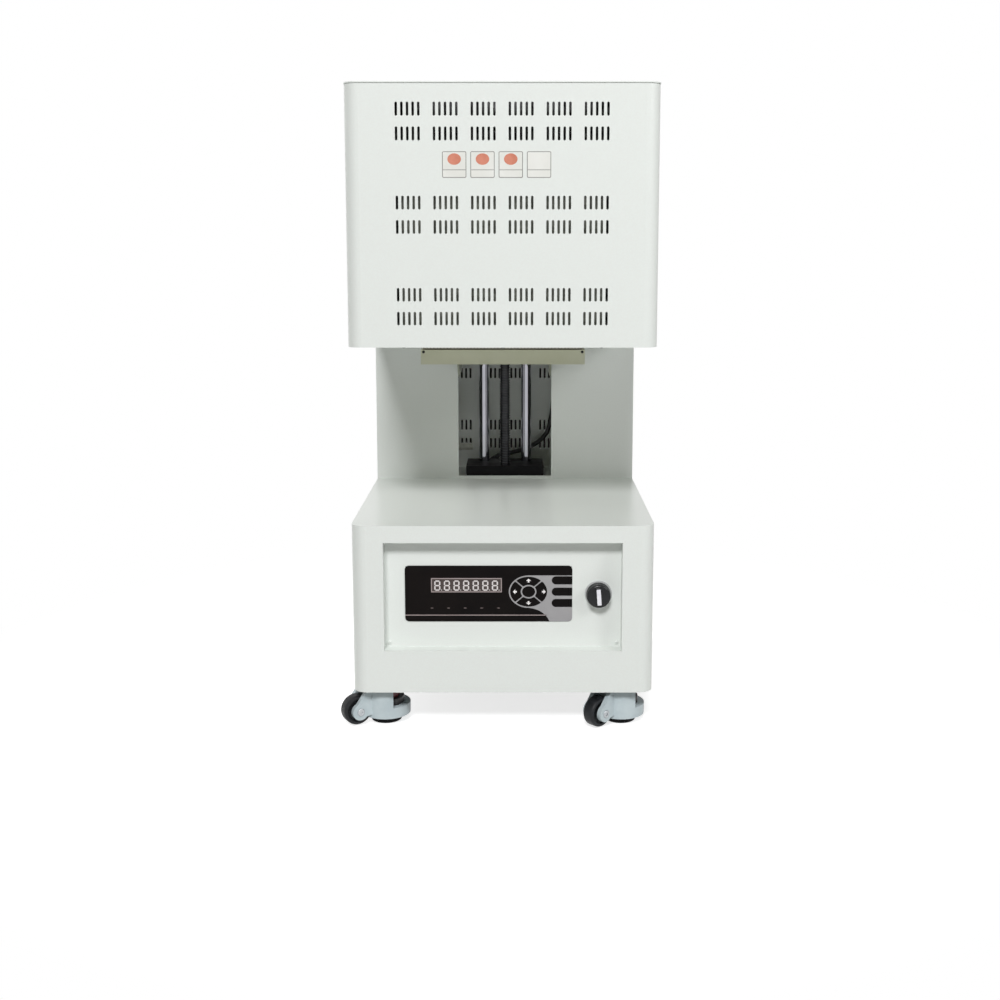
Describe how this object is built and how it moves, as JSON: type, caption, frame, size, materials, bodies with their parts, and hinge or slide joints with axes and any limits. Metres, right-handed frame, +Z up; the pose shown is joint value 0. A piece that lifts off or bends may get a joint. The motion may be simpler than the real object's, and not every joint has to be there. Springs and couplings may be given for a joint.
{
  "type": "elevator muffle furnace",
  "caption": "Floor-standing bottom-loading furnace: a screw lift raises the hearth into a heated chamber above an open bay, with a recessed control panel and levelling casters.",
  "frame": {"origin": "on the floor under the middle of the machine, at the underside of the levelling feet", "axes": "+X to the right seen from the front, +Y to the back, +Z up"},
  "size_m": [0.5484, 0.5774, 1.0585],
  "materials": {
    "white_paint": "satin",
    "frame_paint": "matte",
    "carriage_paint": "satin",
    "overlay_print": "satin",
    "display_lens": "gloss",
    "key_film": "satin",
    "controller_plastic": "matte",
    "knob_plastic": "satin",
    "switch_plastic": "satin",
    "ceramic_fibre": "matte",
    "hearth_ceramic": "matte",
    "heater_alloy": "matte",
    "jacket_steel": "satin",
    "probe_ceramic": "matte",
    "seal_rope": "matte",
    "polished_steel": "polished",
    "screw_steel": "satin",
    "block_black": "satin",
    "motor_paint": "satin",
    "sensor_metal": "satin",
    "cable_sheath": "matte",
    "power_paint": "matte",
    "gland_nylon": "matte",
    "screw_black": "satin",
    "caster_zinc": "satin",
    "caster_cast": "satin",
    "wheel_nylon": "satin",
    "dial_plastic": "satin",
    "foot_rubber": "matte",
    "bearing_alu": "satin",
    "nut_bronze": "satin"
  },
  "bodies": {
    "cabinet": {"base_casing": "white_paint", "base_deck": "white_paint", "base_floor": "white_paint", "column_casing": "white_paint", "upper_casing": "white_paint", "top_cover": "white_paint", "upper_bottom_plate": "white_paint", "rear_cover": "white_paint", "inner_frame": "frame_paint", "control_panel": "white_paint", "keypad_overlay": "overlay_print", "display_window": "display_lens", "controller_body": "controller_plastic", "switch_body": "switch_plastic", "chamber_insulation": "ceramic_fibre", "chamber_jacket": "jacket_steel", "heater_elements": "heater_alloy", "thermocouple": "probe_ceramic", "chamber_seal": "seal_rope", "guide_rods": "polished_steel", "bearing_blocks": "block_black", "gear_motor": "motor_paint", "limit_sensors": "sensor_metal", "power_unit": "power_paint", "cable_harness": "cable_sheath", "cable_gland": "gland_nylon", "casing_screws": "screw_black", "caster_plates": "caster_zinc"},
    "elevator": {"carrier_tray": "white_paint", "hearth_insulation": "ceramic_fibre", "hearth_plate": "hearth_ceramic", "lift_carriage": "carriage_paint", "linear_bearings": "bearing_alu", "lead_nut": "nut_bronze"},
    "screw": {"lead_screw": "screw_steel", "shaft_coupling": "bearing_alu"},
    "power_knob": {"power_knob": "knob_plastic"},
    "key_up": {"key_up": "key_film"},
    "key_down": {"key_down": "key_film"},
    "key_left": {"key_left": "key_film"},
    "key_right": {"key_right": "key_film"},
    "key_top": {"key_top": "key_film"},
    "key_middle": {"key_middle": "key_film"},
    "key_bottom": {"key_bottom": "key_film"},
    "caster_body_fl": {"caster_body_fl": "caster_cast"},
    "caster_wheel_fl": {"caster_wheel_fl": "wheel_nylon"},
    "caster_dial_fl": {"caster_dial_fl": "dial_plastic"},
    "caster_foot_fl": {"caster_foot_fl": "foot_rubber"},
    "caster_body_fr": {"caster_body_fr": "caster_cast"},
    "caster_wheel_fr": {"caster_wheel_fr": "wheel_nylon"},
    "caster_dial_fr": {"caster_dial_fr": "dial_plastic"},
    "caster_foot_fr": {"caster_foot_fr": "foot_rubber"},
    "caster_body_rl": {"caster_body_rl": "caster_cast"},
    "caster_wheel_rl": {"caster_wheel_rl": "wheel_nylon"},
    "caster_dial_rl": {"caster_dial_rl": "dial_plastic"},
    "caster_foot_rl": {"caster_foot_rl": "foot_rubber"},
    "caster_body_rr": {"caster_body_rr": "caster_cast"},
    "caster_wheel_rr": {"caster_wheel_rr": "wheel_nylon"},
    "caster_dial_rr": {"caster_dial_rr": "dial_plastic"},
    "caster_foot_rr": {"caster_foot_rr": "foot_rubber"}
  },
  "joints": [
    {"name": "screw_spin", "type": "hinge", "parent": "cabinet", "child": "screw", "pos_m": [0, 0.165, 0.5], "axis": [0, 0, 1], "range_deg": [0, 14400]},
    {"name": "elevator_slide", "type": "slide", "parent": "cabinet", "child": "elevator", "axis": [0, 0, -1], "range_m": [0, 0.2]},
    {"name": "power_knob_turn", "type": "hinge", "parent": "cabinet", "child": "power_knob", "pos_m": [0.159, -0.265, 0.2285], "axis": [0, 1, 0], "range_deg": [0, 90]},
    {"name": "key_up_press", "type": "slide", "parent": "cabinet", "child": "key_up", "axis": [0, 1, 0], "range_m": [0, 0.0004], "stiffness_N_per_m": 4000, "springref_m": -0.00005},
    {"name": "key_down_press", "type": "slide", "parent": "cabinet", "child": "key_down", "axis": [0, 1, 0], "range_m": [0, 0.0004], "stiffness_N_per_m": 4000, "springref_m": -0.00005},
    {"name": "key_left_press", "type": "slide", "parent": "cabinet", "child": "key_left", "axis": [0, 1, 0], "range_m": [0, 0.0004], "stiffness_N_per_m": 4000, "springref_m": -0.00005},
    {"name": "key_right_press", "type": "slide", "parent": "cabinet", "child": "key_right", "axis": [0, 1, 0], "range_m": [0, 0.0004], "stiffness_N_per_m": 4000, "springref_m": -0.00005},
    {"name": "key_top_press", "type": "slide", "parent": "cabinet", "child": "key_top", "axis": [0, 1, 0], "range_m": [0, 0.0004], "stiffness_N_per_m": 4000, "springref_m": -0.00005},
    {"name": "key_middle_press", "type": "slide", "parent": "cabinet", "child": "key_middle", "axis": [0, 1, 0], "range_m": [0, 0.0004], "stiffness_N_per_m": 4000, "springref_m": -0.00005},
    {"name": "key_bottom_press", "type": "slide", "parent": "cabinet", "child": "key_bottom", "axis": [0, 1, 0], "range_m": [0, 0.0004], "stiffness_N_per_m": 4000, "springref_m": -0.00005},
    {"name": "caster_swivel_fl", "type": "hinge", "parent": "cabinet", "child": "caster_body_fl", "pos_m": [-0.2, -0.223, 0.07], "axis": [0, 0, 1], "continuous": true},
    {"name": "wheel_roll_fl", "type": "hinge", "parent": "caster_body_fl", "child": "caster_wheel_fl", "pos_m": [-0.2485, -0.251, 0.027], "axis": [0.5, -0.866, 0], "continuous": true},
    {"name": "dial_turn_fl", "type": "hinge", "parent": "caster_body_fl", "child": "caster_dial_fl", "pos_m": [-0.2, -0.223, 0.05], "axis": [0, 0, 1], "range_deg": [0, 1440]},
    {"name": "foot_lift_fl", "type": "slide", "parent": "caster_body_fl", "child": "caster_foot_fl", "axis": [0, 0, 1], "range_m": [0, 0.008]},
    {"name": "caster_swivel_fr", "type": "hinge", "parent": "cabinet", "child": "caster_body_fr", "pos_m": [0.2, -0.223, 0.07], "axis": [0, 0, 1], "continuous": true},
    {"name": "wheel_roll_fr", "type": "hinge", "parent": "caster_body_fr", "child": "caster_wheel_fr", "pos_m": [0.15904, -0.26119, 0.027], "axis": [0.682, -0.7314, 0], "continuous": true},
    {"name": "dial_turn_fr", "type": "hinge", "parent": "caster_body_fr", "child": "caster_dial_fr", "pos_m": [0.2, -0.223, 0.05], "axis": [0, 0, 1], "range_deg": [0, 1440]},
    {"name": "foot_lift_fr", "type": "slide", "parent": "caster_body_fr", "child": "caster_foot_fr", "axis": [0, 0, 1], "range_m": [0, 0.008]},
    {"name": "caster_swivel_rl", "type": "hinge", "parent": "cabinet", "child": "caster_body_rl", "pos_m": [-0.2, 0.223, 0.07], "axis": [0, 0, 1], "continuous": true},
    {"name": "wheel_roll_rl", "type": "hinge", "parent": "caster_body_rl", "child": "caster_wheel_rl", "pos_m": [-0.14738, 0.24215, 0.027], "axis": [-0.342, 0.9397, 0], "continuous": true},
    {"name": "dial_turn_rl", "type": "hinge", "parent": "caster_body_rl", "child": "caster_dial_rl", "pos_m": [-0.2, 0.223, 0.05], "axis": [0, 0, 1], "range_deg": [0, 1440]},
    {"name": "foot_lift_rl", "type": "slide", "parent": "caster_body_rl", "child": "caster_foot_rl", "axis": [0, 0, 1], "range_m": [0, 0.008]},
    {"name": "caster_swivel_rr", "type": "hinge", "parent": "cabinet", "child": "caster_body_rr", "pos_m": [0.2, 0.223, 0.07], "axis": [0, 0, 1], "continuous": true},
    {"name": "wheel_roll_rr", "type": "hinge", "parent": "caster_body_rr", "child": "caster_wheel_rr", "pos_m": [0.2485, 0.251, 0.027], "axis": [-0.5, 0.866, 0], "continuous": true},
    {"name": "dial_turn_rr", "type": "hinge", "parent": "caster_body_rr", "child": "caster_dial_rr", "pos_m": [0.2, 0.223, 0.05], "axis": [0, 0, 1], "range_deg": [0, 1440]},
    {"name": "foot_lift_rr", "type": "slide", "parent": "caster_body_rr", "child": "caster_foot_rr", "axis": [0, 0, 1], "range_m": [0, 0.008]}
  ],
  "couplings": [
    {"joint": "screw_spin", "follows": "elevator_slide", "rad_per_m": 1256.6},
    {"joint": "dial_turn_fl", "follows": "foot_lift_fl", "rad_per_m": 3141.6},
    {"joint": "dial_turn_fr", "follows": "foot_lift_fr", "rad_per_m": 3141.6},
    {"joint": "dial_turn_rl", "follows": "foot_lift_rl", "rad_per_m": 3141.6},
    {"joint": "dial_turn_rr", "follows": "foot_lift_rr", "rad_per_m": 3141.6}
  ]
}
